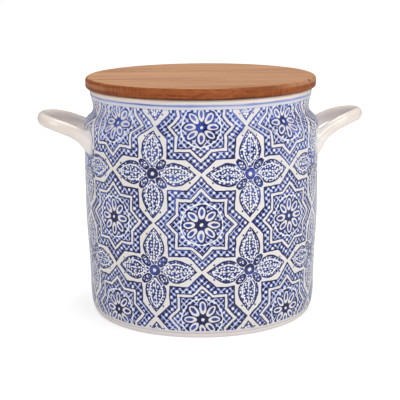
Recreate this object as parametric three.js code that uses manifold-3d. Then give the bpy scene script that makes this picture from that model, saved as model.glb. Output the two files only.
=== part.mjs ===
// Cookie jar: a thrown stoneware crock with two pulled loop handles, closed by a wooden plug lid.
// The lid is a panel of edge-glued staves over a turned plug, and a finned silicone ring seals it.
// Millimetres, +Z up. The origin is the centre of the foot's underside, and the handles lie along X.
import * as THREE from "three";
import { mergeVertices } from "three/addons/utils/BufferGeometryUtils.js";
import Module from "manifold-3d";

// Thrown body, outside
const JAR_HEIGHT = 194.5; // foot to rim
const BODY_RADIUS = 101.2; // the wall from the belly up to the shoulder
const BELLY_HEIGHT = 100; // height at which the wall has opened out to the body radius
const BASE_TAPER = 2.5; // how much narrower the wall is just above the foot
const FOOT_ROUND_WIDTH = 4.7; // rounded heel between the wall and the foot
const FOOT_ROUND_HEIGHT = 22;
const SHOULDER_STEP = 8.3; // how far the neck stands inside the body
const SHOULDER_HEIGHT = 16; // from the end of the straight wall up to the neck's waist
const COLLAR_HEIGHT = 16.5; // from the neck's waist up to the rim
const RIM_FLARE = 2.4; // how far the rim opens out over the waist
const LIP_ROUND = 2; // rounding of the rim's two edges
const WALL_EASE = 0.45; // how long the wall stays upright at each end of its opening
const SHOULDER_EASE = 0.55; // the same at the shoulder's lower end
const NECK_EASE = 0.5; // and at its upper end
const WAIST_EASE = 0.4; // how long the collar stays upright above the waist
const RIM_EASE = 0.3; // and below the rim

// Thrown body, inside and underneath
const BODY_WALL = 6.5;
const NECK_WALL = 6; // at the waist, where the bore of the mouth starts
const FLOOR_THICKNESS = 8;
const FLOOR_FILLET = 12; // inside corner between the floor and the wall
const FOOT_RING_WIDTH = 11; // flat ring that the jar stands on
const FOOT_RECESS = 2.5; // depth of the hollow inside that ring

// Pulled handles: the same coil for both
const HANDLE_REACH = 34.8; // from the body's wall out to the middle of the loop's bend
const HANDLE_TOP = 7.1; // the bend's middle above the end of the straight wall
const HANDLE_WIDTH = 9.1; // the coil's section, across and upright
const HANDLE_THICKNESS = 10.8;
const ROOT_SWELL = 0.45; // extra section where the coil is pressed onto the wall
const ROOT_SWELL_LENGTH = 10.3;
const SLIP_GAP = 0.3; // slip between a root and the wall
const ROOT_DEPTH = 5.7; // the coil is drawn this far into the wall before the saddle is cut

// Pulled by hand, so each loop has its own path
const RIGHT_ROOT_DROP = 20.6; // the coil's ends below the end of the straight wall
const RIGHT_ROOT_SPREAD = 30.4; // half the distance between the loop's two roots
const RIGHT_LIFT = 25.8; // how steeply the coil climbs as it leaves the wall
const RIGHT_LEAVE = 7.4; // how far it leans out of the wall as it climbs
const RIGHT_BEND = 19.3; // how square the bend is, from the middle towards each side
const LEFT_ROOT_DROP = 16;
const LEFT_ROOT_SPREAD = 34.3;
const LEFT_LIFT = 18.7;
const LEFT_LEAVE = 4.7;
const LEFT_BEND = 34.9;

// Lid panel
const LID_THICKNESS = 9.5;
const LID_OVERHANG = 3.4; // past the rim
const LID_TOP_ROUND = 3;
const LID_UNDER_ROUND = 0.8;
const STAVE_COUNT = 6;
const GLUE_LINE = 0.1;
const SEAT_GAP = 0.2; // between the rim and the lid's underside
const SAW_MARGIN = 5; // how far a saw cut runs past the panel

// Plug and seal
const PLUG_DEPTH = 10;
const PLUG_CLEARANCE = 3.2; // between the plug's edge and the mouth's bore
const PLUG_CHAMFER = 1.2;
const SEAL_HEIGHT = 5.4;
const SEAL_ROOT = 2.6; // the part of the ring that sits in the plug's groove
const SEAL_FIT = 0.3; // clearance of the ring in its groove
const SEAL_GAP = 0.3; // between the fins' tips and the mouth's bore
const SEAL_BAND = 0.5; // plain band outside the groove that the fins grow from
const FIN_COUNT = 3;
const FIN_ROOT = 1.1; // thickness of a fin at the band and at its tip
const FIN_TIP = 0.5;
const FIN_SWEEP = 0.7; // how far a tip stands above the fin's lower root

// Facets
const TURNED_SEGMENTS = 72;
const CURVE_STEPS = 6;
const ARC_STEPS = 4;
const HANDLE_SIDES = 14;
const HANDLE_STEPS = 34;
const WELD = 1e-4; // points closer than this are one

// Places that follow from the sizes above
const neckRadius = BODY_RADIUS - SHOULDER_STEP;
const rimRadius = neckRadius + RIM_FLARE;
const mouthRadius = neckRadius - NECK_WALL;
const baseRadius = BODY_RADIUS - BASE_TAPER;
const footRadius = baseRadius - FOOT_ROUND_WIDTH;
const waistHeight = JAR_HEIGHT - COLLAR_HEIGHT;
const shoulderFoot = waistHeight - SHOULDER_HEIGHT;
const lidRadius = rimRadius + LID_OVERHANG;
const lidUnderside = JAR_HEIGHT + SEAT_GAP;
const plugRadius = mouthRadius - PLUG_CLEARANCE;
const plugTop = lidUnderside - GLUE_LINE;
const plugUnderside = plugTop - PLUG_DEPTH;
const sealBottom = plugUnderside + (PLUG_DEPTH - SEAL_HEIGHT) / 2;

const glaze = new THREE.MeshStandardMaterial({ color: 0xe8e1d8, roughness: 0.25, metalness: 0 });
const paintedGlaze = new THREE.MeshStandardMaterial({ color: 0x9aa3c4, roughness: 0.25, metalness: 0 });
const wood = new THREE.MeshStandardMaterial({ color: 0xa8623a, roughness: 0.5, metalness: 0 });
const silicone = new THREE.MeshStandardMaterial({ color: 0xdedcd6, roughness: 0.6, metalness: 0 });

const wasm = await Module();
wasm.setup();

// A closed geometry as a solid that can be cut and joined.
function solidOf(geometry) {
  const bare = geometry.clone();
  bare.deleteAttribute("normal");
  bare.deleteAttribute("uv");
  const merged = mergeVertices(bare, WELD);
  const vertProperties = new Float32Array(merged.attributes.position.array);
  const triVerts = new Uint32Array(merged.index.array);
  return new wasm.Manifold(new wasm.Mesh({ numProp: 3, vertProperties, triVerts }));
}

// A solid's surface as a geometry.
function geometryOf(solid) {
  const { vertProperties, triVerts } = solid.getMesh();
  const geometry = new THREE.BufferGeometry();
  geometry.setAttribute("position", new THREE.BufferAttribute(vertProperties, 3));
  geometry.setIndex(new THREE.BufferAttribute(triVerts, 1));
  geometry.computeVertexNormals();
  return geometry;
}

// The points of a profile, radius by height, with few steps on its curves.
function pointsOf(path) {
  const stepsOf = (curve) => (curve.isLineCurve ? 1 : curve.isEllipseCurve ? ARC_STEPS : CURVE_STEPS);
  const points = path.curves.flatMap((curve) => curve.getPoints(stepsOf(curve)));
  return points.filter((point, i) => i === 0 || point.distanceTo(points[i - 1]) > WELD);
}

// A profile turned about the Z axis.
function turned(path) {
  return new THREE.LatheGeometry(pointsOf(path), TURNED_SEGMENTS).rotateX(Math.PI / 2);
}

// Draws the jar's outside from the foot's edge up to the rim, grown outwards by a gap.
function drawOutside(path, gap = 0) {
  const wallPull = WALL_EASE * (BELLY_HEIGHT - FOOT_ROUND_HEIGHT);
  const quarter = [-Math.PI / 2, 0];
  path.absellipse(footRadius + gap, FOOT_ROUND_HEIGHT, FOOT_ROUND_WIDTH, FOOT_ROUND_HEIGHT, ...quarter);
  path.bezierCurveTo(
    baseRadius + gap, FOOT_ROUND_HEIGHT + wallPull,
    BODY_RADIUS + gap, BELLY_HEIGHT - wallPull,
    BODY_RADIUS + gap, BELLY_HEIGHT,
  );
  path.lineTo(BODY_RADIUS + gap, shoulderFoot);
  path.bezierCurveTo(
    BODY_RADIUS + gap, shoulderFoot + SHOULDER_EASE * SHOULDER_HEIGHT,
    neckRadius + gap, waistHeight - NECK_EASE * SHOULDER_HEIGHT,
    neckRadius + gap, waistHeight,
  );
  path.bezierCurveTo(
    neckRadius + gap, waistHeight + WAIST_EASE * COLLAR_HEIGHT,
    rimRadius + gap, JAR_HEIGHT - LIP_ROUND - RIM_EASE * COLLAR_HEIGHT,
    rimRadius + gap, JAR_HEIGHT - LIP_ROUND,
  );
}

function jarBody() {
  const innerBase = baseRadius - BODY_WALL;
  const innerBody = BODY_RADIUS - BODY_WALL;
  const innerShoulder = shoulderFoot - BODY_WALL / 2;
  const innerNeck = waistHeight - NECK_WALL / 2;
  const innerFoot = FLOOR_THICKNESS + FLOOR_FILLET;
  const wallPull = WALL_EASE * (BELLY_HEIGHT - innerFoot);
  const path = new THREE.Path();
  path.moveTo(0, FOOT_RECESS);
  path.lineTo(footRadius - FOOT_RING_WIDTH - FOOT_RECESS, FOOT_RECESS);
  path.lineTo(footRadius - FOOT_RING_WIDTH, 0);
  path.lineTo(footRadius, 0);
  drawOutside(path);
  path.absarc(rimRadius - LIP_ROUND, JAR_HEIGHT - LIP_ROUND, LIP_ROUND, 0, Math.PI / 2);
  path.lineTo(mouthRadius + LIP_ROUND, JAR_HEIGHT);
  path.absarc(mouthRadius + LIP_ROUND, JAR_HEIGHT - LIP_ROUND, LIP_ROUND, Math.PI / 2, Math.PI);
  path.lineTo(mouthRadius, innerNeck);
  path.bezierCurveTo(
    mouthRadius, innerNeck - NECK_EASE * SHOULDER_HEIGHT,
    innerBody, innerShoulder + SHOULDER_EASE * SHOULDER_HEIGHT,
    innerBody, innerShoulder,
  );
  path.lineTo(innerBody, BELLY_HEIGHT);
  path.bezierCurveTo(
    innerBody, BELLY_HEIGHT - wallPull,
    innerBase, innerFoot + wallPull,
    innerBase, innerFoot,
  );
  path.absarc(innerBase - FLOOR_FILLET, innerFoot, FLOOR_FILLET, 0, -Math.PI / 2, true);
  path.lineTo(0, FLOOR_THICKNESS);
  return turned(path);
}

// The middle line of a handle on +X: out of the wall, up into the bend, and back the same way.
function handleLine({ drop, spread, lift, leave, bend }) {
  const wall = Math.sqrt(BODY_RADIUS ** 2 - spread ** 2);
  const foot = shoulderFoot - drop;
  const end = BODY_RADIUS + HANDLE_REACH;
  const top = shoulderFoot + HANDLE_TOP;
  const corners = (side) => [
    new THREE.Vector3(wall - ROOT_DEPTH, side * spread, foot),
    new THREE.Vector3(wall + leave, side * spread, foot + lift),
    new THREE.Vector3(end, side * bend, top),
    new THREE.Vector3(end, 0, top),
  ];
  const line = new THREE.CurvePath();
  line.add(new THREE.CubicBezierCurve3(...corners(-1)));
  line.add(new THREE.CubicBezierCurve3(...corners(1).reverse()));
  return line;
}

// A coil bent along that line, swollen where it meets the wall, with its ends saddled to the body.
function handle(path) {
  const line = handleLine(path);
  const length = line.getLength();
  const up = new THREE.Vector3(0, 0, 1);
  const coil = new THREE.CylinderGeometry(1, 1, 1, HANDLE_SIDES, HANDLE_STEPS);
  const places = coil.attributes.position;
  for (let i = 0; i < places.count; i++) {
    const along = places.getY(i) + 0.5;
    const fromWall = Math.max(0, Math.min(along, 1 - along) * length - ROOT_DEPTH);
    const swell = 1 + ROOT_SWELL * Math.exp(-((fromWall / ROOT_SWELL_LENGTH) ** 2));
    const forward = line.getTangent(along);
    const across = forward.clone().cross(up).normalize();
    const upright = across.clone().cross(forward);
    const place = line
      .getPoint(along)
      .addScaledVector(across, (places.getX(i) * swell * HANDLE_WIDTH) / 2)
      .addScaledVector(upright, (places.getZ(i) * swell * HANDLE_THICKNESS) / 2);
    places.setXYZ(i, place.x, place.y, place.z);
  }
  const envelope = new THREE.Path();
  envelope.moveTo(0, 0);
  envelope.lineTo(footRadius + SLIP_GAP, 0);
  drawOutside(envelope, SLIP_GAP);
  envelope.lineTo(0, JAR_HEIGHT - LIP_ROUND);
  return geometryOf(solidOf(coil).subtract(solidOf(turned(envelope))));
}

// The lid's panel before it is sawn into staves: a disc with rounded edges.
function lidBlank() {
  const top = lidUnderside + LID_THICKNESS;
  const path = new THREE.Path();
  path.moveTo(0, lidUnderside);
  path.lineTo(lidRadius - LID_UNDER_ROUND, lidUnderside);
  path.lineTo(lidRadius, lidUnderside + LID_UNDER_ROUND);
  path.lineTo(lidRadius, top - LID_TOP_ROUND);
  path.absarc(lidRadius - LID_TOP_ROUND, top - LID_TOP_ROUND, LID_TOP_ROUND, 0, Math.PI / 2);
  path.lineTo(0, top);
  return solidOf(turned(path));
}

// Stave number i, counted from the front, with its glued edges half a glue line back.
function lidStave(blank, i) {
  const width = (2 * lidRadius) / STAVE_COUNT;
  const edge = (n) => n * width - lidRadius;
  const front = i === 0 ? edge(0) - SAW_MARGIN : edge(i) + GLUE_LINE / 2;
  const back = i === STAVE_COUNT - 1 ? edge(STAVE_COUNT) + SAW_MARGIN : edge(i + 1) - GLUE_LINE / 2;
  const length = 2 * (lidRadius + SAW_MARGIN);
  const slab = new THREE.BoxGeometry(length, back - front, LID_THICKNESS + 2 * SAW_MARGIN);
  slab.translate(0, (front + back) / 2, lidUnderside + LID_THICKNESS / 2);
  return geometryOf(blank.intersect(solidOf(slab)));
}

// The plug: a disc with a groove for the seal round its edge.
function lidPlug() {
  const grooveRadius = plugRadius - SEAL_ROOT - SEAL_FIT;
  const path = new THREE.Path();
  path.moveTo(0, plugUnderside);
  path.lineTo(plugRadius - PLUG_CHAMFER, plugUnderside);
  path.lineTo(plugRadius, plugUnderside + PLUG_CHAMFER);
  path.lineTo(plugRadius, sealBottom - SEAL_FIT);
  path.lineTo(grooveRadius, sealBottom - SEAL_FIT);
  path.lineTo(grooveRadius, sealBottom + SEAL_HEIGHT + SEAL_FIT);
  path.lineTo(plugRadius, sealBottom + SEAL_HEIGHT + SEAL_FIT);
  path.lineTo(plugRadius, plugTop);
  path.lineTo(0, plugTop);
  return turned(path);
}

// The seal: a ring with thin fins that sweep upwards to the bore of the mouth.
function sealRing() {
  const inner = plugRadius - SEAL_ROOT;
  const finRoot = plugRadius + SEAL_BAND;
  const finTip = mouthRadius - SEAL_GAP;
  const pitch = SEAL_HEIGHT / FIN_COUNT;
  const path = new THREE.Path();
  path.moveTo(inner, sealBottom);
  for (let i = 0; i < FIN_COUNT; i++) {
    const foot = sealBottom + i * pitch;
    path.lineTo(finRoot, foot);
    path.lineTo(finTip, foot + FIN_SWEEP);
    path.lineTo(finTip, foot + FIN_SWEEP + FIN_TIP);
    path.lineTo(finRoot, foot + FIN_ROOT);
  }
  path.lineTo(finRoot, sealBottom + SEAL_HEIGHT);
  path.lineTo(inner, sealBottom + SEAL_HEIGHT);
  path.lineTo(inner, sealBottom);
  return turned(path);
}

function piece(name, geometry, material) {
  const mesh = new THREE.Mesh(geometry, material);
  mesh.name = name;
  return mesh;
}

const crock = new THREE.Group();
crock.add(piece("jar_body", jarBody(), paintedGlaze));
const rightPath = {
  drop: RIGHT_ROOT_DROP, spread: RIGHT_ROOT_SPREAD, lift: RIGHT_LIFT, leave: RIGHT_LEAVE, bend: RIGHT_BEND,
};
const leftPath = {
  drop: LEFT_ROOT_DROP, spread: LEFT_ROOT_SPREAD, lift: LEFT_LIFT, leave: LEFT_LEAVE, bend: LEFT_BEND,
};
crock.add(piece("handle_right", handle(rightPath), glaze));
const leftHandle = piece("handle_left", handle(leftPath), glaze);
leftHandle.rotation.z = Math.PI;
crock.add(leftHandle);

const lid = new THREE.Group();
const blank = lidBlank();
for (let i = 0; i < STAVE_COUNT; i++) {
  lid.add(piece(`lid_stave_${i + 1}`, lidStave(blank, i), wood));
}
lid.add(piece("lid_plug", lidPlug(), wood));
lid.add(piece("seal_ring", sealRing(), silicone));

const cookieJar = new THREE.Group();
cookieJar.add(crock, lid);

export default cookieJar;
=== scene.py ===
# Looks of the cookie jar: glazed stoneware painted in cobalt, two pulled handles and a wooden plug lid.
# Metres, +Z up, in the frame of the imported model. Sizes below are in millimetres.
import math

import bmesh
import bpy
from mathutils import Matrix, Vector


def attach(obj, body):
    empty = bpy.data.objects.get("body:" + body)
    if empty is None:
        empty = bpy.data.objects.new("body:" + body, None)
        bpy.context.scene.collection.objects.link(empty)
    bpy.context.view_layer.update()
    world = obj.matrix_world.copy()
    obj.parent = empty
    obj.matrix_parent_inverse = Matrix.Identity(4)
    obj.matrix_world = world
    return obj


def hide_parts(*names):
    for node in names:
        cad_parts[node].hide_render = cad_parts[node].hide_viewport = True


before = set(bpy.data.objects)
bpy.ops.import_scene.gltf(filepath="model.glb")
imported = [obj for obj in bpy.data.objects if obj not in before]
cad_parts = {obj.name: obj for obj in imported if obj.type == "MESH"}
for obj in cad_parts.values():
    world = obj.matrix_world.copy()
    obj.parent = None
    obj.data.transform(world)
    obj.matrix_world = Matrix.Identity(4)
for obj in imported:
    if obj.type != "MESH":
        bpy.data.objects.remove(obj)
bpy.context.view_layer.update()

MM = 0.001
TURN = 2 * math.pi

# Thrown body
JAR_HEIGHT = 194.5
BODY_RADIUS = 101.2
BELLY_HEIGHT = 100
BASE_TAPER = 2.5
HEEL_WIDTH = 4.7
HEEL_HEIGHT = 22
SHOULDER_STEP = 8.3
SHOULDER_HEIGHT = 16
COLLAR_HEIGHT = 16.5
RIM_FLARE = 2.4
LIP_ROUND = 2
WALL = 6.5
NECK_WALL = 6
FLOOR = 8
FLOOR_FILLET = 12
FOOT_RING = 11
FOOT_RECESS = 2.5
RECESS_SLOPE = 4
BASE_RADIUS = BODY_RADIUS - BASE_TAPER
FOOT_RADIUS = BASE_RADIUS - HEEL_WIDTH
WAIST_HEIGHT = JAR_HEIGHT - COLLAR_HEIGHT
SHOULDER_FOOT = WAIST_HEIGHT - SHOULDER_HEIGHT
NECK_RADIUS = BODY_RADIUS - SHOULDER_STEP
RIM_RADIUS = NECK_RADIUS + RIM_FLARE
MOUTH_RADIUS = NECK_RADIUS - NECK_WALL

# How long each stretch of the profile keeps its way before it bends, as a share of its height
WALL_EASE = 0.45
SHOULDER_EASE = 0.55
NECK_EASE = 0.5
WAIST_EASE = 0.4
RIM_EASE = 0.3

# Pulled handles: one coil for both, and a path of its own for each loop
HANDLE_REACH = 34.8
HANDLE_TOP = 7.1
HANDLE_WIDTH = 8.86
HANDLE_THICKNESS = 10.76
ROOT_SWELL = 0.45
ROOT_SWELL_LENGTH = 10.3
ROOT_DEPTH = 5.7
ROOT_FILLET = 2.5
ROOT_TUCK = 3
RIGHT_PATH = {"drop": 20.6, "spread": 30.4, "lift": 25.8, "leave": 7.4, "bend": 19.3}
LEFT_PATH = {"drop": 16, "spread": 34.3, "lift": 18.7, "leave": 4.7, "bend": 34.9}

# Lid, with the plug and the seal under it
LID_OVERHANG = 3.4
LID_THICKNESS = 9.49
LID_TOP_ROUND = 3
LID_UNDER_ROUND = 2.2
SEAT_GAP = 0.2
STAVES = 6
GLUE_LINE = 0.1
PLUG_DEPTH = 10
PLUG_CLEARANCE = 3.2
PLUG_ROUND = 1.2
SEAL_HEIGHT = 5.4
SEAL_ROOT = 2.6
SEAL_BAND = 0.5
SEAL_FIT = 0.3
SEAL_GAP = 0.3
FINS = 3
LID_RADIUS = RIM_RADIUS + LID_OVERHANG
LID_UNDERSIDE = JAR_HEIGHT + SEAT_GAP
PLUG_RADIUS = MOUTH_RADIUS - PLUG_CLEARANCE
PLUG_TOP = LID_UNDERSIDE - GLUE_LINE
PLUG_BOTTOM = PLUG_TOP - PLUG_DEPTH
SEAL_BOTTOM = PLUG_BOTTOM + (PLUG_DEPTH - SEAL_HEIGHT) / 2

# Pin knots in the lid's edge: place, size of the dark core and reach of the stain
KNOTS = [((87, -45.3, 203), 0.9, 3.4), ((89.8, -40.9, 199.4), 0.8, 2.6)]

# Painting: heights on the wall, and the lattice's repeats round it
PAINT_FOOT = 6.5
PAINT_TOP = 186.8
PALER_FROM = 90
PATTERN_MIDDLE = 96.5
COLLAR_LINE = 190
COLUMNS = 8
CELL = TURN * BODY_RADIUS / COLUMNS
NET_STEPS = 15.5

# The camera: turn round the jar in degrees, place in metres, then pitch, roll and yaw in degrees
VIEW_TURN = 3.3
CAMERA_PLACE = (0, -0.9537, 0.3096)
CAMERA_TILT = (12.754, -0.46, -0.08)


def linear(red, green, blue):
    """A colour as it looks on screen, 0 to 255, turned into the linear light that shaders work in."""
    def channel(value):
        value /= 255
        return value / 12.92 if value <= 0.04045 else ((value + 0.055) / 1.055) ** 2.4
    return (channel(red), channel(green), channel(blue), 1)


BARE_GLAZE = linear(232, 226, 221)
WHITE_GLAZE = linear(240, 238, 238)
WARM_GLAZE = linear(234, 223, 213)
PALE_WASH = linear(144, 162, 212)
COBALT = linear(58, 80, 170)
NAVY = linear(3, 7, 66)


# Node tools

class Field:
    """A number or vector that varies over a surface. Each operation on it adds one node to its tree."""

    def __init__(self, tree, socket):
        self.tree = tree
        self.socket = socket

    def do(self, operation, *others):
        vector = self.socket.type == "VECTOR"
        new = self.tree.nodes.new("ShaderNodeVectorMath" if vector else "ShaderNodeMath")
        new.operation = operation
        for slot, value in zip(new.inputs, (self, *others)):
            plug(self.tree, slot, value)
        number = vector and operation in ("LENGTH", "DOT_PRODUCT", "DISTANCE")
        return Field(self.tree, new.outputs["Value" if number or not vector else "Vector"])

    def scaled(self, amount):
        new = node(self.tree, "ShaderNodeVectorMath", {0: self, "Scale": amount}, operation="SCALE")
        return Field(self.tree, new.outputs["Vector"])

    def parts(self):
        split = node(self.tree, "ShaderNodeSeparateXYZ", {0: self})
        return [Field(self.tree, socket) for socket in split.outputs]

    def __add__(self, other):
        return self.do("ADD", other)

    def __sub__(self, other):
        return self.do("SUBTRACT", other)

    def __mul__(self, other):
        return self.do("MULTIPLY", other)

    def __truediv__(self, other):
        return self.do("DIVIDE", other)

    def __neg__(self):
        return self.do("MULTIPLY", -1)

    def __abs__(self):
        return self.do("ABSOLUTE")

    def __rsub__(self, other):
        return -self + other

    __radd__ = __add__
    __rmul__ = __mul__

    def ramp(self, low, high, start=0, end=1, smooth=True):
        """Runs from start, where the field is low, to end, where it is high."""
        kind = "SMOOTHSTEP" if smooth else "LINEAR"
        values = {"Value": self, "From Min": low, "From Max": high, "To Min": start, "To Max": end}
        new = node(self.tree, "ShaderNodeMapRange", values, interpolation_type=kind)
        return Field(self.tree, new.outputs["Result"])


def plug(tree, slot, value):
    if isinstance(value, Field):
        value = value.socket
    if isinstance(value, bpy.types.NodeSocket):
        tree.links.new(value, slot)
    else:
        slot.default_value = value


def node(tree, kind, inputs=None, **settings):
    """Adds a node, sets its properties and fills its inputs, by name or by number."""
    new = tree.nodes.new(kind)
    for name, value in settings.items():
        setattr(new, name, value)
    for name, value in (inputs or {}).items():
        plug(tree, new.inputs[name], value)
    return new


def field(tree, kind, inputs=None, output=0, **settings):
    return Field(tree, node(tree, kind, inputs, **settings).outputs[output])


def vector(tree, x, y, z):
    return field(tree, "ShaderNodeCombineXYZ", {"X": x, "Y": y, "Z": z})


def noise(tree, place, scale, detail=2, roughness=0.5, stretch=None):
    """Cloudy noise from 0 to 1. Scale is in patches per metre, and stretch sets it per axis."""
    if stretch:
        place = place * stretch
    values = {"Vector": place, "Scale": scale, "Detail": detail, "Roughness": roughness}
    return field(tree, "ShaderNodeTexNoise", values)


def blend(tree, amount, first, second):
    """Mixes two colours."""
    new = tree.nodes.new("ShaderNodeMix")
    new.data_type = "RGBA"
    plug(tree, new.inputs["Factor"], amount)
    plug(tree, new.inputs[6], first)
    plug(tree, new.inputs[7], second)
    return new.outputs[2]


def new_group(name, kind, inputs, outputs):
    """An empty node group with its named sockets, and its input and output nodes."""
    tree = bpy.data.node_groups.new(name, kind)
    for direction, sockets in (("INPUT", inputs), ("OUTPUT", outputs)):
        for title, socket_type in sockets:
            tree.interface.new_socket(name=title, in_out=direction, socket_type=socket_type)
    return tree, tree.nodes.new("NodeGroupInput").outputs, tree.nodes.new("NodeGroupOutput").inputs


NUMBER, COUNT, VECTOR = "NodeSocketFloat", "NodeSocketInt", "NodeSocketVector"
GEOMETRY, MATERIAL = "NodeSocketGeometry", "NodeSocketMaterial"


# Geometry Nodes

def turned_tree():
    """Turns a profile about Z. The profile lies in XZ, and each of its points becomes one ring."""
    tree, given, result = new_group("turned", "GeometryNodeTree", [
        ("Profile", GEOMETRY), ("Segments", COUNT), ("Start Length", NUMBER), ("Waver", NUMBER),
        ("Finish", MATERIAL),
    ], [("Piece", GEOMETRY)])
    points = field(tree, "GeometryNodeAttributeDomainSize", {0: given["Profile"]}, component="CURVE")
    counts = {"Vertices X": Field(tree, given["Segments"]) + 1, "Vertices Y": points}
    grid = node(tree, "GeometryNodeMeshGrid", {"Size X": 1, "Size Y": 1, **counts})
    across, along, _ = Field(tree, grid.outputs["UV Map"]).parts()
    ring = (along * (points - 1)).do("ROUND")

    def at_ring(kind, value):
        values = {"Geometry": given["Profile"], "Index": ring}
        sample = node(tree, "GeometryNodeSampleIndex", values, data_type=kind)
        tree.links.new(value, sample.inputs["Value"])
        return Field(tree, sample.outputs[0])

    position = node(tree, "GeometryNodeInputPosition").outputs[0]
    radius, _, height = at_ring("FLOAT_VECTOR", position).parts()
    length = node(tree, "GeometryNodeSplineParameter").outputs["Length"]
    run = at_ring("FLOAT", length) - given["Start Length"]
    angle = (across - 0.5) * TURN
    swing, front = angle.do("SINE"), angle.do("COSINE")
    spot = vector(tree, swing * 0.1, front * 0.1, height)
    radius = radius - (noise(tree, spot, 22, 1) * given["Waver"]).do("MINIMUM", radius)
    place = vector(tree, radius * swing, -(radius * front), height)
    moved = node(tree, "GeometryNodeSetPosition", {"Geometry": grid.outputs["Mesh"], "Position": place})
    values = {"Geometry": moved.outputs[0], "Name": "wall"}
    mapped = node(tree, "GeometryNodeStoreNamedAttribute", values, data_type="FLOAT2", domain="CORNER")
    tree.links.new(vector(tree, across, run, 0.0).socket, mapped.inputs["Value"])
    finish_piece(tree, mapped.outputs[0], given["Finish"], result["Piece"])
    return tree


def finish_piece(tree, geometry, finish, result):
    """Closes a piece's seams and poles, makes it real and gives it its finish."""
    closed = node(tree, "GeometryNodeMergeByDistance", {"Geometry": geometry, "Distance": 1e-6})
    whole = node(tree, "GeometryNodeRealizeInstances", {"Geometry": closed.outputs[0]})
    finished = node(tree, "GeometryNodeSetMaterial", {"Geometry": whole.outputs[0], "Material": finish})
    tree.links.new(finished.outputs[0], result)


def coil_tree():
    """Draws a coil along a path whose ends run into a round wall, with its roots smoothed onto the wall."""
    names = (
        "Width", "Thickness", "Swell", "Swell Length", "Root Depth", "Wall Radius", "Fillet", "Tuck")
    tree, given, result = new_group("pulled_coil", "GeometryNodeTree", [
        ("Path", GEOMETRY), ("Sides", COUNT), ("Steps", COUNT), *((name, NUMBER) for name in names),
        ("Finish", MATERIAL),
    ], [("Piece", GEOMETRY)])
    width, thickness, swell, swell_length, root_depth, wall, fillet, tuck = (
        Field(tree, given[name]) for name in names)
    counts = {"Vertices X": Field(tree, given["Sides"]) + 1, "Vertices Y": given["Steps"]}
    grid = node(tree, "GeometryNodeMeshGrid", {"Size X": 1, "Size Y": 1, **counts})
    across_grid, along, _ = Field(tree, grid.outputs["UV Map"]).parts()
    total = field(tree, "GeometryNodeCurveLength", {0: given["Path"]})
    angle = across_grid * TURN
    sideways, upwards = angle.do("COSINE"), angle.do("SINE")

    def strand(length):
        """The place on the coil's skin at a length along the path, and the way out from its middle."""
        values = {"Curves": given["Path"], "Length": length}
        sample = node(tree, "GeometryNodeSampleCurve", values, mode="LENGTH", use_all_curves=True)
        forward = Field(tree, sample.outputs["Tangent"])
        across = forward.do("CROSS_PRODUCT", (0, 0, 1)).do("NORMALIZE")
        upright = across.do("CROSS_PRODUCT", forward)
        depth = (length.do("MINIMUM", total - length) - root_depth).do("MAXIMUM", 0) / swell_length
        size = ((depth * depth * -1).do("EXPONENT") * swell + 1) * 0.5
        out = across.scaled(size * width * sideways) + upright.scaled(size * thickness * upwards)
        return Field(tree, sample.outputs["Position"]) + out, out

    def from_axis(place):
        x, y, _ = place.parts()
        return (x * x + y * y).do("SQRT")

    # Each strand starts where it comes out of the wall
    start, step = total * 0, 0.02
    for _ in range(12):
        start = start + from_axis(strand(start + step)[0]).do("LESS_THAN", wall) * step
        step /= 2
    crowded = along - (along * TURN).do("SINE") * (0.8 / TURN)
    length = start + crowded * (total - start * 2)
    skin, out = strand(length)

    # A fillet spreads the skin along the wall, and the very ends are tucked under it
    x, y, _ = skin.parts()
    spread = from_axis(skin)
    wall_out = vector(tree, x / spread, y / spread, 0.0)
    out = out.do("NORMALIZE")
    facing = out.do("DOT_PRODUCT", wall_out)
    along_wall = (out - wall_out.scaled(facing)).do("NORMALIZE")
    near = (1 - (spread - wall).do("MAXIMUM", 0) / fillet).do("MAXIMUM", 0)
    corner = ((1 - facing) / (facing + 1.02)).do("SQRT").do("MINIMUM", 1.4)
    flare = (1 - (1 - near * near).do("MAXIMUM", 0).do("SQRT")) * fillet * corner
    x, y, z = (skin + along_wall.scaled(flare)).parts()
    spread = (x * x + y * y).do("SQRT")
    clear = (length - start).do("MINIMUM", total - start - length)
    end = (1 - clear / tuck).do("MAXIMUM", 0)
    pressed = ((wall - 0.0002 - spread) * end * end + spread) / spread
    place = vector(tree, x * pressed, y * pressed, z)
    moved = node(tree, "GeometryNodeSetPosition", {"Geometry": grid.outputs["Mesh"], "Position": place})
    finish_piece(tree, moved.outputs[0], given["Finish"], result["Piece"])
    return tree


def poly_curve(name, points):
    """A line of points, given in millimetres, as a curve object."""
    curve = bpy.data.curves.new(name, "CURVE")
    curve.dimensions = "3D"
    spline = curve.splines.new("POLY")
    spline.points.add(len(points) - 1)
    for point, (x, y, z) in zip(spline.points, points):
        point.co = (x * MM, y * MM, z * MM, 1)
    line = bpy.data.objects.new(name, curve)
    bpy.context.scene.collection.objects.link(line)
    return line


def grown(name, line, tree, values, finish):
    """Runs a node tree on a line and keeps what it makes as a plain mesh object."""
    modifier = line.modifiers.new("make", "NODES")
    modifier.node_group = tree
    for item in tree.interface.items_tree:
        if item.in_out == "INPUT" and item.name in values:
            modifier[item.identifier] = values[item.name]
        elif item.in_out == "INPUT" and item.name == "Finish":
            modifier[item.identifier] = finish
    depsgraph = bpy.context.evaluated_depsgraph_get()
    mesh = bpy.data.meshes.new_from_object(line.evaluated_get(depsgraph), depsgraph=depsgraph)
    mesh.name = name
    line.modifiers.clear()
    bpy.data.objects.remove(line)
    return placed(name, mesh, finish)


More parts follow.
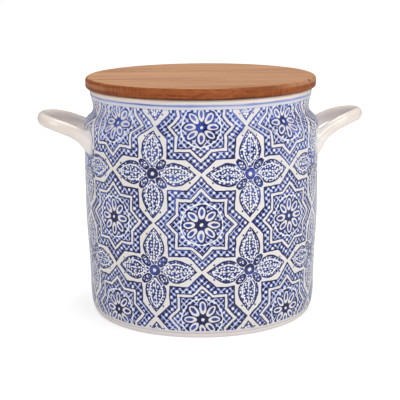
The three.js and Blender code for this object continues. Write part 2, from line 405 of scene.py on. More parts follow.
def placed(name, mesh, finish):
    """A finished mesh as an object in the scene, with outward faces and crisp edges kept crisp."""
    shape = bmesh.new()
    shape.from_mesh(mesh)
    bmesh.ops.holes_fill(shape, edges=[edge for edge in shape.edges if edge.is_boundary])
    bmesh.ops.recalc_face_normals(shape, faces=shape.faces)
    shape.to_mesh(mesh)
    shape.free()
    mesh.materials.clear()
    mesh.materials.append(finish)
    mesh.shade_smooth()
    mesh.set_sharp_from_angle(angle=math.radians(42))
    piece = bpy.data.objects.new(name, mesh)
    bpy.context.scene.collection.objects.link(piece)
    return piece


# Profiles, as points of radius and height

def curve_points(start, lead, pull, end, steps):
    """A curve that leaves start towards lead and reaches end from pull, without its first point."""
    points = []
    for i in range(1, steps + 1):
        t = i / steps
        a, b, c, d = (1 - t) ** 3, 3 * t * (1 - t) ** 2, 3 * t * t * (1 - t), t ** 3
        points.append(tuple(a * p + b * q + c * r + d * s for p, q, r, s in zip(start, lead, pull, end)))
    return points


def arc_points(centre, wide, tall, start, end, steps):
    """An arc from one angle to another, in quarter turns."""
    quarter = math.pi / 2
    angles = [quarter * (start + (end - start) * i / steps) for i in range(steps + 1)]
    return [(centre[0] + wide * math.cos(a), centre[1] + tall * math.sin(a)) for a in angles]


def even_points(start, end, steps):
    """Evenly spaced points on a straight stretch, without its first point."""
    return [tuple(p + (q - p) * i / steps for p, q in zip(start, end)) for i in range(1, steps + 1)]


def outside_points():
    """The jar's outside, from the edge of its foot up to its rim."""
    wall_pull = WALL_EASE * (BELLY_HEIGHT - HEEL_HEIGHT)
    lip = (RIM_RADIUS, JAR_HEIGHT - LIP_ROUND)
    points = arc_points((FOOT_RADIUS, HEEL_HEIGHT), BASE_RADIUS - FOOT_RADIUS, HEEL_HEIGHT, -1, 0, 20)
    points += curve_points(
        points[-1], (BASE_RADIUS, HEEL_HEIGHT + wall_pull),
        (BODY_RADIUS, BELLY_HEIGHT - wall_pull), (BODY_RADIUS, BELLY_HEIGHT), 28)
    points += even_points(points[-1], (BODY_RADIUS, SHOULDER_FOOT), 12)
    points += curve_points(
        points[-1], (BODY_RADIUS, SHOULDER_FOOT + SHOULDER_EASE * SHOULDER_HEIGHT),
        (NECK_RADIUS, WAIST_HEIGHT - NECK_EASE * SHOULDER_HEIGHT), (NECK_RADIUS, WAIST_HEIGHT), 20)
    points += curve_points(
        points[-1], (NECK_RADIUS, WAIST_HEIGHT + WAIST_EASE * COLLAR_HEIGHT),
        (RIM_RADIUS, lip[1] - RIM_EASE * COLLAR_HEIGHT), lip, 14)
    return points


def crock_points():
    """The whole jar: underside, outside, rim and inside."""
    inner_base, inner_body = BASE_RADIUS - WALL, BODY_RADIUS - WALL
    inner_shoulder, inner_neck = SHOULDER_FOOT - WALL / 2, WAIST_HEIGHT - NECK_WALL / 2
    inner_foot = FLOOR + FLOOR_FILLET
    wall_pull = WALL_EASE * (BELLY_HEIGHT - inner_foot)
    ring = FOOT_RADIUS - FOOT_RING
    lip_height = JAR_HEIGHT - LIP_ROUND
    points = [(0, FOOT_RECESS)] + even_points((0, FOOT_RECESS), (ring - RECESS_SLOPE, FOOT_RECESS), 6)
    points += curve_points(
        points[-1], (ring - RECESS_SLOPE / 2, FOOT_RECESS), (ring - 1.5, 0.4), (ring, 0), 6)
    points += even_points(points[-1], (FOOT_RADIUS - 1, 0), 3)
    foot_end = len(points)
    points += outside_points()
    points += arc_points((RIM_RADIUS - LIP_ROUND, lip_height), LIP_ROUND, LIP_ROUND, 0, 1, 8)[1:]
    points += arc_points((MOUTH_RADIUS + LIP_ROUND, lip_height), LIP_ROUND, LIP_ROUND, 1, 2, 8)
    points += even_points(points[-1], (MOUTH_RADIUS, inner_neck), 6)
    points += curve_points(
        points[-1], (MOUTH_RADIUS, inner_neck - NECK_EASE * SHOULDER_HEIGHT),
        (inner_body, inner_shoulder + SHOULDER_EASE * SHOULDER_HEIGHT), (inner_body, inner_shoulder), 16)
    points += even_points(points[-1], (inner_body, BELLY_HEIGHT), 6)
    points += curve_points(
        points[-1], (inner_body, BELLY_HEIGHT - wall_pull), (inner_base, inner_foot + wall_pull),
        (inner_base, inner_foot), 14)
    points += arc_points((inner_base - FLOOR_FILLET, inner_foot), FLOOR_FILLET, FLOOR_FILLET, 0, -1, 10)[1:]
    points += even_points(points[-1], (0, FLOOR), 8)
    return points, foot_end


def run_of(points):
    """The length of a line of points."""
    return sum(math.dist(a, b) for a, b in zip(points, points[1:]))


def run_at_height(height):
    """How far along the outside, from the edge of the foot, a height is reached."""
    points = outside_points()
    low = [p for p in points if p[1] <= height]
    return run_of(low) + height - low[-1][1]


def lid_points():
    """The lid panel, from the middle of its underside round its edge to the middle of its top."""
    top = LID_UNDERSIDE + LID_THICKNESS
    under, over = LID_UNDER_ROUND, LID_TOP_ROUND
    points = [(0, LID_UNDERSIDE), (LID_RADIUS - under, LID_UNDERSIDE)]
    points += arc_points((LID_RADIUS - under, LID_UNDERSIDE + under), under, under, -1, 0, 4)[1:]
    points += arc_points((LID_RADIUS - over, top - over), over, over, 0, 1, 8)
    return points + even_points(points[-1], (0, top), 2)


def plug_points():
    """The plug, with the groove that holds the seal."""
    groove = PLUG_RADIUS - SEAL_ROOT - SEAL_FIT
    low, high = SEAL_BOTTOM - SEAL_FIT, SEAL_BOTTOM + SEAL_HEIGHT + SEAL_FIT
    bend = 0.35
    return [
        (0, PLUG_BOTTOM), (PLUG_RADIUS - PLUG_ROUND, PLUG_BOTTOM), (PLUG_RADIUS - bend, PLUG_BOTTOM + bend),
        (PLUG_RADIUS, PLUG_BOTTOM + PLUG_ROUND), (PLUG_RADIUS, low), (groove, low), (groove, high),
        (PLUG_RADIUS, high), (PLUG_RADIUS, PLUG_TOP), (0, PLUG_TOP)]


def seal_points():
    """The seal's ring, with rounded fins that sweep up to the mouth."""
    inner, band, tip = PLUG_RADIUS - SEAL_ROOT, PLUG_RADIUS + SEAL_BAND, MOUTH_RADIUS - SEAL_GAP
    top = SEAL_BOTTOM + SEAL_HEIGHT
    points = [(inner, SEAL_BOTTOM)]
    for i in range(FINS):
        foot = SEAL_BOTTOM + i * SEAL_HEIGHT / FINS
        points += [
            (band, foot), (tip - 0.3, foot + 0.62), (tip, foot + 0.8), (tip, foot + 1.05),
            (tip - 0.3, foot + 1.18), (band + 0.3, foot + 1.12), (band, foot + 1.2)]
    return points + [(band, top), (inner, top), (inner, SEAL_BOTTOM)]


def handle_points(side, drop, spread, lift, leave, bend):
    """The middle line of a handle: out of the wall, up into the bend and back. Side is 1 for the right."""
    wall = math.sqrt(BODY_RADIUS ** 2 - spread ** 2)
    foot, end, top = SHOULDER_FOOT - drop, BODY_RADIUS + HANDLE_REACH, SHOULDER_FOOT + HANDLE_TOP

    def half(front):
        return [
            (wall - ROOT_DEPTH, front * spread, foot), (wall + leave, front * spread, foot + lift),
            (end, front * bend, top), (end, 0, top)]

    near, far = half(-1), half(1)
    points = [near[0]] + curve_points(*near, 60) + curve_points(*reversed(far), 60)
    return [(side * x, side * y, z) for x, y, z in points]


# Shared finishes

def glaze_group():
    """A fired glaze: faint clouds of tone, pinholes and the slow waver of a thrown surface."""
    tree, given, result = new_group("fired_glaze", "ShaderNodeTree", [
        ("Place", VECTOR), ("Throwing", NUMBER),
    ], [("Tone", NUMBER), ("Roughness", NUMBER), ("Height", NUMBER)])
    place = Field(tree, given["Place"])
    clouds = noise(tree, place, 30, 3)
    mottle = noise(tree, place, 420, 2)
    _, _, height = place.parts()
    rings = (height * 780 + noise(tree, place, 12, 2) * 9).do("SINE")
    pits = field(tree, "ShaderNodeTexVoronoi", {"Vector": place, "Scale": 210}).ramp(0.05, 0.11)
    plug(tree, result["Tone"], clouds * 0.7 + mottle * 0.3)
    plug(tree, result["Roughness"], 0.07 + clouds * 0.08 + mottle * 0.04)
    waver = rings * given["Throwing"] + clouds * 0.6
    plug(tree, result["Height"], waver + mottle * 0.06 + pits * 0.12)
    return tree


def wood_group():
    """Straight-grained wood along X: growth lines, streaks and pores, different for each seed."""
    tree, given, result = new_group("straight_grain", "ShaderNodeTree", [
        ("Place", VECTOR), ("Seed", NUMBER),
    ], [("Tone", NUMBER), ("Pores", NUMBER), ("Height", NUMBER)])
    seed = Field(tree, given["Seed"])
    place = Field(tree, given["Place"]) + vector(tree, seed * 0.37, seed * 0.11, seed * 0.23)
    bow = noise(tree, place, 1, 2, stretch=(5, 14, 14)) * 0.01
    _, y, z = place.parts()
    lean = (seed * 2.4).do("SINE") * 0.35
    lines = noise(tree, vector(tree, (y + z * lean + bow) * 520, 0.0, 0.0), 1, 3, 0.65)
    streaks = noise(tree, place, 1, 4, 0.6, stretch=(9, 420, 420))
    fibres = noise(tree, place, 1, 2, 0.6, stretch=(45, 2600, 2600))
    bands = noise(tree, place, 1, 3, 0.55, stretch=(6, 80, 80))
    pores = noise(tree, place, 1, 1, stretch=(110, 3000, 3000)).ramp(0.64, 0.74)
    tone = lines * 0.25 + streaks * 0.25 + fibres * 0.1 + bands * 0.4
    plug(tree, result["Tone"], tone.ramp(0.36, 0.64, smooth=False))
    plug(tree, result["Pores"], pores)
    plug(tree, result["Height"], fibres * 0.5 + streaks * 0.4 - pores * 0.8)
    return tree


def new_material(name):
    finish = bpy.data.materials.new(name)
    finish.use_nodes = True
    tree = finish.node_tree
    return finish, tree, tree.nodes["Principled BSDF"]


def object_place(tree):
    return Field(tree, node(tree, "ShaderNodeTexCoord").outputs["Object"])


def use_group(tree, group, values):
    holder = node(tree, "ShaderNodeGroup", node_tree=group)
    for name, value in values.items():
        plug(tree, holder.inputs[name], value)
    return {socket.name: Field(tree, socket) for socket in holder.outputs}


def bumped(tree, height, distance, strength=1.0):
    values = {"Height": height, "Distance": distance, "Strength": strength}
    return node(tree, "ShaderNodeBump", values).outputs[0]


# Painting

def within(distance, soft=0.25):
    """1 inside a shape, 0 outside it, over a soft brushed edge in millimetres."""
    return distance.ramp(-soft, soft, 1, 0)


def stroke(distance, half, soft=0.2):
    """1 on a brushed line that follows a shape's edge."""
    return abs(distance).ramp(half - soft, half + soft, 1, 0)


def either(first, second):
    return first.do("MAXIMUM", second)


def lattice_group():
    """A brushed lattice of eight-pointed stars and crosses. Paint runs from bare glaze to navy."""
    tree, given, result = new_group("star_and_cross", "ShaderNodeTree", [
        ("Turn", NUMBER), ("Run", NUMBER), ("Place", VECTOR),
    ], [("Paint", NUMBER), ("Filled", NUMBER)])
    place = Field(tree, given["Place"])

    def shaken(scale, detail):
        """An unsteady hand: two wandering offsets about zero."""
        values = {"Vector": place, "Scale": scale, "Detail": detail}
        colour = node(tree, "ShaderNodeTexNoise", values).outputs["Color"]
        split = node(tree, "ShaderNodeSeparateXYZ", {0: colour})
        return [Field(tree, socket) - 0.5 for socket in split.outputs[:2]]

    shake_x, shake_y = shaken(42, 3)
    quiver_x, quiver_y = shaken(230, 1)
    turn = Field(tree, given["Turn"]) * COLUMNS + shake_x * 0.05 + quiver_x * 0.014
    rise = Field(tree, given["Run"]) * (1000 / CELL) + shake_y * 0.05 + quiver_y * 0.014

    # Star, measured from the middle of its cell
    star_x, star_y = abs(turn - turn.do("ROUND")) * CELL, abs(rise - rise.do("ROUND")) * CELL
    square = star_x.do("MAXIMUM", star_y)
    diamond = (star_x + star_y) * math.sqrt(0.5)
    edge = square.do("MINIMUM", diamond) - math.sqrt(0.125) * CELL
    radius = (star_x * star_x + star_y * star_y).do("SQRT")
    slant = star_y.do("ARCTAN2", star_x)
    fold = slant - (slant * (4 / math.pi)).do("ROUND") * (math.pi / 4)
    petal_x, petal_y = radius * fold.do("COSINE"), radius * fold.do("SINE")

    # Cross, measured from the corner of the cell
    cross_x, cross_y = CELL / 2 - star_x, CELL / 2 - star_y
    arm, off = cross_x.do("MAXIMUM", cross_y), cross_x.do("MINIMUM", cross_y)
    reach = (cross_x * cross_x + cross_y * cross_y).do("SQRT")

    def gap(x, y):
        return (x * x + y * y).do("SQRT")

    def oval(x, y, middle, length, width):
        return (gap((x - middle) / length, y / width) - 1) * width

    # Net that fills the stars: pale threads, a white dot in each mesh and dark blots round the crossings
    wash = noise(tree, place, 75, 3).ramp(0.3, 0.7)
    loose_x, loose_y = shaken(170, 1)
    half_mesh = CELL / NET_STEPS * math.sqrt(0.5)

    def from_thread(count):
        count = count / 2
        return abs(count - count.do("ROUND")) * (2 * half_mesh)

    down = from_thread((turn + rise) * NET_STEPS + loose_x * 0.3)
    across = from_thread((turn - rise) * NET_STEPS + loose_y * 0.3)
    blots = within(gap(down - half_mesh / 2, across - half_mesh / 2) - 1.2, 0.35)
    threads = stroke(down.do("MINIMUM", across), 0.3, 0.22)
    dots = within(gap(half_mesh - down, half_mesh - across) - 1.05 - wash * 0.25)
    beads = within(gap(down.do("MINIMUM", across), half_mesh - down.do("MAXIMUM", across)) - 0.75)
    net = either(0.4 + wash * 0.2, blots * 1.1) * (1 - threads * 0.8)
    net = net * (1 - beads * 0.75) * (1 - dots)

    # Stippled mosaic that fills the leaves
    sheet = {"Vector": vector(tree, turn * CELL, rise * CELL, 0.0), "Scale": 0.4, "Randomness": 0.8}
    stones = node(tree, "ShaderNodeTexVoronoi", sheet, voronoi_dimensions="2D")
    joints = field(tree, "ShaderNodeTexVoronoi", sheet, voronoi_dimensions="2D", feature="DISTANCE_TO_EDGE")
    shade = field(tree, "ShaderNodeSeparateXYZ", {0: stones.outputs["Color"]})
    pips = Field(tree, stones.outputs["Distance"]).ramp(0.2, 0.4, 1, 0)
    mosaic = either(0.24 + shade * 0.5, joints.ramp(0.08, 0.22, 1.1, 0)) * (1 - pips)

    # Star's layers, from its edge to the rosette in its middle
    paint = within(edge + 1.2) * net
    paint = either(paint, stroke(edge + 1.2, 0.6))
    band = edge + 8.4
    paint = paint * (1 - stroke(band, 1.3))
    paint = either(paint, stroke(abs(band) - 1.6, 0.5))
    paint = paint * (1 - stroke(radius - 16.9, 0.55))
    bloom = oval(petal_x, petal_y, 9.6, 5.6, 3.1)
    paint = either(paint * (1 - within(bloom)), stroke(bloom - 0.3, 0.55))
    paint = either(paint, within(oval(petal_x, petal_y, 10.2, 3.0, 1.35)) * 0.75)
    paint = either(paint, within(radius - 3.4) * 0.95) * (1 - within(radius - 1.3))

    # Cross's four long petals, with small leaves between them
    along = (arm - 20) / 15.2
    leaf = off - (1 - along * along) * (8.9 - along * 2.0)
    spray = either(within(leaf) * mosaic, stroke(leaf, 0.6))
    spray = spray * (1 - stroke(leaf + 3.1, 0.5)) * (1 - stroke(off, 0.3) * within(leaf + 3.1))
    sprig_x, sprig_y = (cross_x + cross_y) * math.sqrt(0.5), (cross_x - cross_y) * math.sqrt(0.5)
    sprig = oval(sprig_x, sprig_y, 10.4, 4.6, 2.7)
    spray = either(spray * (1 - within(sprig - 1.1)), within(sprig) * mosaic)
    spray = either(spray, stroke(sprig, 0.55))
    hub = reach - 4.2
    spray = either(spray * (1 - within(hub - 0.9)), within(hub) * 0.8)
    spray = either(spray, stroke(hub, 0.55)) * (1 - within(reach - 1.6))
    spray = either(spray, within(gap(arm - 30.2, off - 6.2) - 0.75) * 0.9)
    plug(tree, result["Paint"], either(paint, spray * within(0.8 - edge)))
    netted = within(edge + 1.2) * (1 - stroke(band, 1.3)) * (1 - within(bloom))
    plug(tree, result["Filled"], either(netted, within(leaf)))
    return tree


def painted_glaze(glaze, lattice):
    """The body's finish: painted wall, blue line on the collar, plain inside, a warm band under the lid
    that is partly painted bounce light from the lid, and a paler foot band that is partly painted bounce
    light from the floor.
    """
    finish, tree, shader = new_material("painted_glaze")
    place = object_place(tree)
    turn, run, _ = Field(tree, node(tree, "ShaderNodeUVMap", uv_map="wall").outputs[0]).parts()
    surface = use_group(tree, glaze, {"Place": place, "Throwing": 0.5})
    middle = run_at_height(PATTERN_MIDDLE) * MM
    facing = turn + VIEW_TURN / 360
    design = use_group(tree, lattice, {"Turn": facing, "Run": run - middle, "Place": place})
    sway = (noise(tree, place, 60, 2) - 0.5) * 0.0012
    height = run + sway
    low, high = run_at_height(PAINT_FOOT) * MM, run_at_height(PAINT_TOP) * MM
    fine = 0.0003
    painted = height.ramp(low - fine, low + fine) * height.ramp(high - fine, high + fine, 1, 0)
    load = noise(tree, place, 26, 4).ramp(0.25, 0.75)
    paler = run.ramp(run_at_height(PALER_FROM) * MM, high, 0, 0.28)
    daubs = noise(tree, place, 80, 2, 0.6).ramp(0.3, 0.7)
    paint = design["Paint"] * painted * (0.65 + load * 0.34 + daubs * 0.3 - paler)
    line = run_at_height(COLLAR_LINE) * MM
    offset = abs(height - line)
    brush = noise(tree, place, 24, 2).ramp(0.35, 0.65, 1.15, 0.55)
    faded = turn.ramp(0.56, 0.66, 0, 0.3) * turn.ramp(0.8, 0.95, 1, 0)
    collar_line = (offset * brush).ramp(0.0003, 0.0011, 1, 0) * (0.3 + load * 0.25) * (1 - faded)
    halo = offset.ramp(0.0006, 0.0032, 0.13, 0)
    guide = abs(height - high).ramp(0.0001, 0.0006, 0.2, 0)
    paint = either(either(paint, guide), either(collar_line, halo))
    ramp = tree.nodes.new("ShaderNodeValToRGB")
    stops = ramp.color_ramp.elements
    stops[0].color, stops[1].color = BARE_GLAZE, NAVY
    stops[1].position = 0.9
    stops.new(0.28).color = PALE_WASH
    stops.new(0.58).color = COBALT
    plug(tree, ramp.inputs[0], paint)
    spots = design["Filled"] * painted * paint.ramp(0, 0.28, 1, 0, smooth=False)
    brushed = blend(tree, spots, ramp.outputs[0], WHITE_GLAZE)
    # The unpainted foot band: rougher, and made paler partly as painted light bounced up from the floor.
    foot = run.ramp(low - 0.004, low - 0.001, 1, 0)
    glaze_edge = abs(height - low + 0.002).ramp(0.0003, 0.0014, 0.35, 0)
    # Painted bounce light: a warm, lighter band under the lid, partly the lip's own warmer glaze and partly
    # warm light bounced from the wooden lid.
    lip = run.ramp(line, line + 0.003) * run.ramp(line + 0.009, line + 0.016, 1, 0)
    tone = surface["Tone"].ramp(0.3, 0.7, 0.0, 0.06)
    colour = blend(tree, tone, brushed, linear(205, 192, 178))
    colour = blend(tree, foot * 0.8, colour, linear(240, 231, 230))
    colour = blend(tree, glaze_edge, colour, linear(172, 166, 164))
    colour = blend(tree, lip * 0.9, colour, linear(241, 228, 214))
    plug(tree, shader.inputs["Base Color"], colour)
    plug(tree, shader.inputs["Roughness"], surface["Roughness"] + foot * 0.2)
    shader.inputs["Specular IOR Level"].default_value = 0.3
    plug(tree, shader.inputs["Normal"], bumped(tree, surface["Height"] + paint * 0.1, 0.00012))
    return finish


def plain_glaze(glaze):
    """The handles' finish: bare cream glaze with a blue-grey band where they meet the painted wall, partly
    cobalt from the wall and partly painted shade in the crease.
    """
    finish, tree, shader = new_material("plain_glaze")
    place = object_place(tree)
    surface = use_group(tree, glaze, {"Place": place, "Throwing": 0.0})
    x, y, _ = place.parts()
    clear = (x * x + y * y).do("SQRT") - BODY_RADIUS * MM
    # Blue-grey at the join, partly cobalt run off the wall and partly painted shade in the crease between
    # handle and wall.
    join_blue_and_shade = clear.ramp(0.0002, 0.0024, 0.5, 0.0) * noise(tree, place, 80, 3).ramp(0.3, 0.6, 0.5, 1)
    tone = surface["Tone"].ramp(0.3, 0.7, 0.0, 0.18)
    colour = blend(tree, tone, WARM_GLAZE, linear(222, 208, 196))
    colour = blend(tree, clear.ramp(0.003, 0.016, 0.6, 0), colour, linear(241, 236, 232))
    colour = blend(tree, join_blue_and_shade, colour, linear(164, 168, 192))
    plug(tree, shader.inputs["Base Color"], colour)
    plug(tree, shader.inputs["Roughness"], surface["Roughness"] * 0.8)
    shader.inputs["Specular IOR Level"].default_value = 0.8
    plug(tree, shader.inputs["Normal"], bumped(tree, surface["Height"], 0.0001))
    return finish


def oiled_wood(name, grain, seed):
    """Oiled reddish wood, darker round the lid's edge, with painted shade along the lower edge; the top's
    lighter colour is partly painted sheen. Without a seed each stave has its own grain.
    """
    finish, tree, shader = new_material(name)
    place = object_place(tree)
    if seed is None:
        seed = Field(tree, node(tree, "ShaderNodeAttribute", attribute_name="stave").outputs["Fac"])
    wood = use_group(tree, grain, {"Place": place, "Seed": seed})
    x, y, z = place.parts()
    out = (x * x + y * y).do("SQRT")
    bearing = x.do("ARCTAN2", -y)
    up = (z - LID_UNDERSIDE * MM) * 1000
    # The face colour reaches further down the upper edge on the lid's right side.
    right_upper_edge_lighter = bearing.ramp(0.4, 1.0) * bearing.ramp(1.8, 2.3, 1, 0) * up.ramp(5.0, 6.8) * 0.75
    tan_layer = bearing.ramp(-2.3, -1.8) * bearing.ramp(-1.15, -0.6, 1, 0)
    tan_layer = tan_layer * stroke(up - 5.2, 1.5, 0.9) * 0.42
    edge = out.ramp((LID_RADIUS - 2.4) * MM, (LID_RADIUS - 0.9) * MM) * (1 - either(right_upper_edge_lighter, tan_layer))
    end_grain = abs(bearing.do("SINE")).ramp(0.2, 0.75)
    strands = noise(tree, place, 1, 3, 0.7, (760, 760, 40)).ramp(0.35, 0.65)
    layers = noise(tree, place, 1, 3, 0.65, (30, 30, 330)).ramp(0.35, 0.65)
    tone = wood["Tone"] + (strands - wood["Tone"]) * end_grain * edge * 0.7
    # The top's light colour is partly the wood's own and partly painted sheen of the oiled top, set against
    # the darker edge grain.
    face = blend(tree, tone, linear(160, 104, 67), linear(226, 173, 129))
    across = noise(tree, place, 1, 2, 0.6, (1100, 1100, 160)).ramp(0.35, 0.65)
    along = noise(tree, place, 1, 3, 0.6, (160, 500, 650)).ramp(0.35, 0.65)
    flecks = along + (across - along) * end_grain
    rim_tone = tone * 0.45 + layers * 0.25 + flecks * 0.3
    rim = blend(tree, rim_tone, linear(94, 31, 4), linear(180, 100, 44))
    # Painted shade: the lid's lower edge is darkened where it faces down over the rim, less towards the
    # lid's ends.
    under_edge_shade = up.ramp(0.5, 2.2, 0.8, 0) * (1 - end_grain * 0.5)
    under_edge_shade = under_edge_shade * out.ramp((LID_RADIUS - 8) * MM, (LID_RADIUS - 2.5) * MM)
    colour = blend(tree, under_edge_shade, blend(tree, edge, face, rim), linear(58, 22, 8))
    colour = blend(tree, wood["Pores"] * 0.4, colour, linear(92, 44, 20))
    for spot, size, reach in KNOTS:
        away = (place - tuple(value * MM for value in spot)).do("LENGTH")
        stain = away.ramp(size * MM, reach * MM, 0.55, 0)
        core = away.ramp(size * 0.6 * MM, size * 1.3 * MM, 0.85, 0)
        colour = blend(tree, stain, colour, linear(120, 48, 20))
        colour = blend(tree, core, colour, linear(52, 20, 10))
    plug(tree, shader.inputs["Base Color"], colour)
    plug(tree, shader.inputs["Roughness"], 0.48 + wood["Pores"] * 0.2 - wood["Tone"] * 0.06)
    shader.inputs["Specular IOR Level"].default_value = 0.22
    plug(tree, shader.inputs["Normal"], bumped(tree, wood["Height"], 0.0001))
    return finish


def soft_silicone():
    """Milky silicone with a bloom of dust."""
    finish, tree, shader = new_material("milky_silicone")
    place = object_place(tree)
    dust = noise(tree, place, 300, 3)
    colour = blend(tree, dust * 0.4, linear(226, 224, 217), linear(198, 195, 187))
    plug(tree, shader.inputs["Base Color"], colour)
    plug(tree, shader.inputs["Roughness"], 0.42 + dust * 0.2)
    plug(tree, shader.inputs["Normal"], bumped(tree, dust, 0.00005))
    shader.inputs["Subsurface Weight"].default_value = 0.2
    shader.inputs["Subsurface Scale"].default_value = 0.003
    return finish


# Pieces

def sawn_staves(panel, finish):
    """Saws the turned lid panel into its staves, each marked with its own number for the grain."""
    width = 2 * LID_RADIUS / STAVES
    staves = []
    for i in range(STAVES):
        shape = bmesh.new()
        shape.from_mesh(panel.data)
        for edge, side in ((i, -1), (i + 1, 1)):
            if 0 < edge < STAVES:
                cut = (edge * width - LID_RADIUS - side * GLUE_LINE / 2) * MM
                everything = shape.verts[:] + shape.edges[:] + shape.faces[:]
                made = bmesh.ops.bisect_plane(
                    shape, geom=everything, plane_co=(0, cut, 0), plane_no=(0, side, 0),
                    clear_outer=True, dist=1e-7)
                rim = [item for item in made["geom_cut"] if isinstance(item, bmesh.types.BMEdge)]
                bmesh.ops.contextual_create(shape, geom=rim)
        mark = shape.verts.layers.float.new("stave")
        for vert in shape.verts:
            vert[mark] = i + 1
        mesh = bpy.data.meshes.new(f"lid_plank_{i + 1}")
        shape.to_mesh(mesh)
        shape.free()
        staves.append(placed(f"lid_plank_{i + 1}", mesh, finish))
    bpy.data.objects.remove(panel)
    return staves


def laid_out(piece, height):
    """Lays the jar out for its texture: front and back in wide strips, the rest in narrow ones."""
    wall = piece.data.uv_layers["wall"].data
    sheet = piece.data.uv_layers.new(name="OFBake").data
    for face in piece.data.polygons:
        corners = [wall[i].uv for i in face.loop_indices]
        middle = sum(corners, Vector((0, 0))) / len(corners)
        for i, (turn, run) in zip(face.loop_indices, corners):
            share = min(max(run / height, 0), 1)
            if not 0 < middle.y < height:
                away = run - height if run > height else -run
                sheet[i].uv = turn, (0.0 if middle.y > 0 else 0.065) + 0.055 * min(away / 0.3, 1)
            elif 0.25 < middle.x < 0.75:
                sheet[i].uv = 2 * turn - 0.5, 0.57 + 0.43 * share
            else:
                sheet[i].uv = (2 * turn + 0.5) if middle.x < 0.5 else (2 * turn - 1.5), 0.13 + 0.43 * share


def turned_piece(name, points, finish, segments=192, start=0.0, waver=0.0):
    line = poly_curve(name, [(radius, 0, height) for radius, height in points])
    values = {"Segments": segments, "Start Length": start, "Waver": waver}
    return grown(name, line, turned, values, finish)


turned = turned_tree()
coil = coil_tree()
glaze = glaze_group()
grain = wood_group()

painted = painted_glaze(glaze, lattice_group())
plain = plain_glaze(glaze)
panel_wood = oiled_wood("panel_wood", grain, None)
plug_wood = oiled_wood("plug_wood", grain, 11.0)
silicone = soft_silicone()

profile, foot_end = crock_points()
crock = turned_piece("thrown_crock", profile, painted, 256, run_of(profile[:foot_end + 1]) * MM, 0.12 * MM)
laid_out(crock, run_at_height(JAR_HEIGHT - LIP_ROUND) * MM)
coil_sizes = {
    "Sides": 44, "Steps": 140, "Width": HANDLE_WIDTH * MM, "Thickness": HANDLE_THICKNESS * MM,
    "Swell": ROOT_SWELL, "Swell Length": ROOT_SWELL_LENGTH * MM, "Root Depth": ROOT_DEPTH * MM,
    "Wall Radius": BODY_RADIUS * MM, "Fillet": ROOT_FILLET * MM, "Tuck": ROOT_TUCK * MM}
right_line = poly_curve("right", handle_points(1, **RIGHT_PATH))
left_line = poly_curve("left", handle_points(-1, **LEFT_PATH))
right_handle = grown("pulled_handle_right", right_line, coil, coil_sizes, plain)
left_handle = grown("pulled_handle_left", left_line, coil, coil_sizes, plain)
planks = sawn_staves(turned_piece("lid_panel", lid_points(), panel_wood, 256), panel_wood)
plug_disc = turned_piece("plug_disc", plug_points(), plug_wood)
seal = turned_piece("finned_seal", seal_points(), silicone)

for piece, body, slot, nodes in (
    (crock, "jar", "painted_glaze", "jar_body"),
    (right_handle, "jar", "plain_glaze", "handle_right"),
    (left_handle, "jar", "plain_glaze", "handle_left"),
    (plug_disc, "lid", "lid_wood", "lid_plug"),
    (seal, "seal", "silicone", "seal_ring"),
):
    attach(piece, body)
    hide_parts(nodes)
for number, plank in enumerate(planks, 1):
    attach(plank, "lid")
    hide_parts(f"lid_stave_{number}")


# Studio

def white_floor():
    """A pale floor that reads as white to the camera and still takes the jar's shadow."""
    bpy.ops.mesh.primitive_plane_add(size=8)
    floor = bpy.context.object
    floor.name = "floor"
    finish, tree, shader = new_material("pale_floor")
    shader.inputs["Base Color"].default_value = (0.82, 0.82, 0.82, 1)
    shader.inputs["Roughness"].default_value = 0.9
    seen = Field(tree, node(tree, "ShaderNodeLightPath").outputs["Is Camera Ray"])
    away = object_place(tree).do("LENGTH")
    plug(tree, shader.inputs["Emission Strength"], seen * away.ramp(0.12, 0.7, 0.42, 0.75))
    shader.inputs["Emission Color"].default_value = (1, 1, 1, 1)
    floor.data.materials.append(finish)


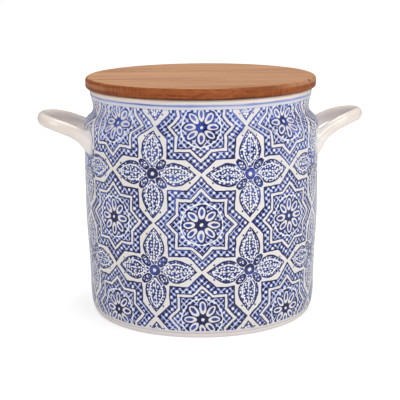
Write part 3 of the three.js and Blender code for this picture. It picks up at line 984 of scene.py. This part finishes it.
def soft_lamp(name, place, size, power):
    lamp = bpy.data.lights.new(name, "AREA")
    lamp.shape = "RECTANGLE"
    lamp.size, lamp.size_y = size
    lamp.energy = power
    holder = bpy.data.objects.new(name, lamp)
    holder.location = place
    holder.rotation_euler = (Vector((0, 0, 0.1)) - Vector(place)).to_track_quat("-Z", "Y").to_euler()
    bpy.context.scene.collection.objects.link(holder)


def studio_world():
    """Even room light: plain white to the camera, dimmer in reflections and on the object."""
    world = bpy.data.worlds.new("studio")
    world.use_nodes = True
    tree = world.node_tree
    rays = node(tree, "ShaderNodeLightPath").outputs
    seen = Field(tree, rays["Is Camera Ray"]).do("MAXIMUM", rays["Is Transmission Ray"])
    background = tree.nodes["Background"]
    background.inputs["Color"].default_value = (1, 1, 1, 1)
    plug(tree, background.inputs["Strength"], seen.ramp(0, 1, 0.32, 1.0, smooth=False))
    bpy.context.scene.world = world


def photo_camera():
    """The camera at the photograph's place: in front, a little above, on a long lens."""
    pitch, roll, yaw = (math.radians(angle) for angle in CAMERA_TILT)
    forward = Vector((math.sin(yaw) * math.cos(pitch), math.cos(yaw) * math.cos(pitch), -math.sin(pitch)))
    right = Vector((math.cos(yaw), -math.sin(yaw), 0))
    up = right.cross(forward)
    right, up = (
        right * math.cos(roll) + up * math.sin(roll), up * math.cos(roll) - right * math.sin(roll))
    stand = Matrix.Rotation(math.radians(-VIEW_TURN), 4, "Z") @ Matrix.Translation(CAMERA_PLACE)
    lens = bpy.data.cameras.new("camera")
    lens.lens = 100
    lens.sensor_width = 36
    camera = bpy.data.objects.new("camera", lens)
    turn = Matrix((right, up, -forward)).transposed().to_4x4()
    camera.matrix_world = stand @ turn
    bpy.context.scene.collection.objects.link(camera)
    bpy.context.scene.camera = camera


white_floor()
soft_lamp("key", (0.95, -1.15, 1.25), (1.5, 0.6), 12.5)
soft_lamp("left", (-1.45, -0.6, 0.75), (0.7, 1.1), 6.5)
soft_lamp("right", (1.4, -0.9, 0.4), (0.7, 0.8), 3)
soft_lamp("front", (0.0, -1.8, 0.45), (1.6, 0.8), 6)
soft_lamp("overhead", (0.0, 0.35, 1.6), (1.2, 0.5), 11)
studio_world()
photo_camera()
bpy.context.scene.view_settings.view_transform = "Standard"

bpy.context.view_layer.update()
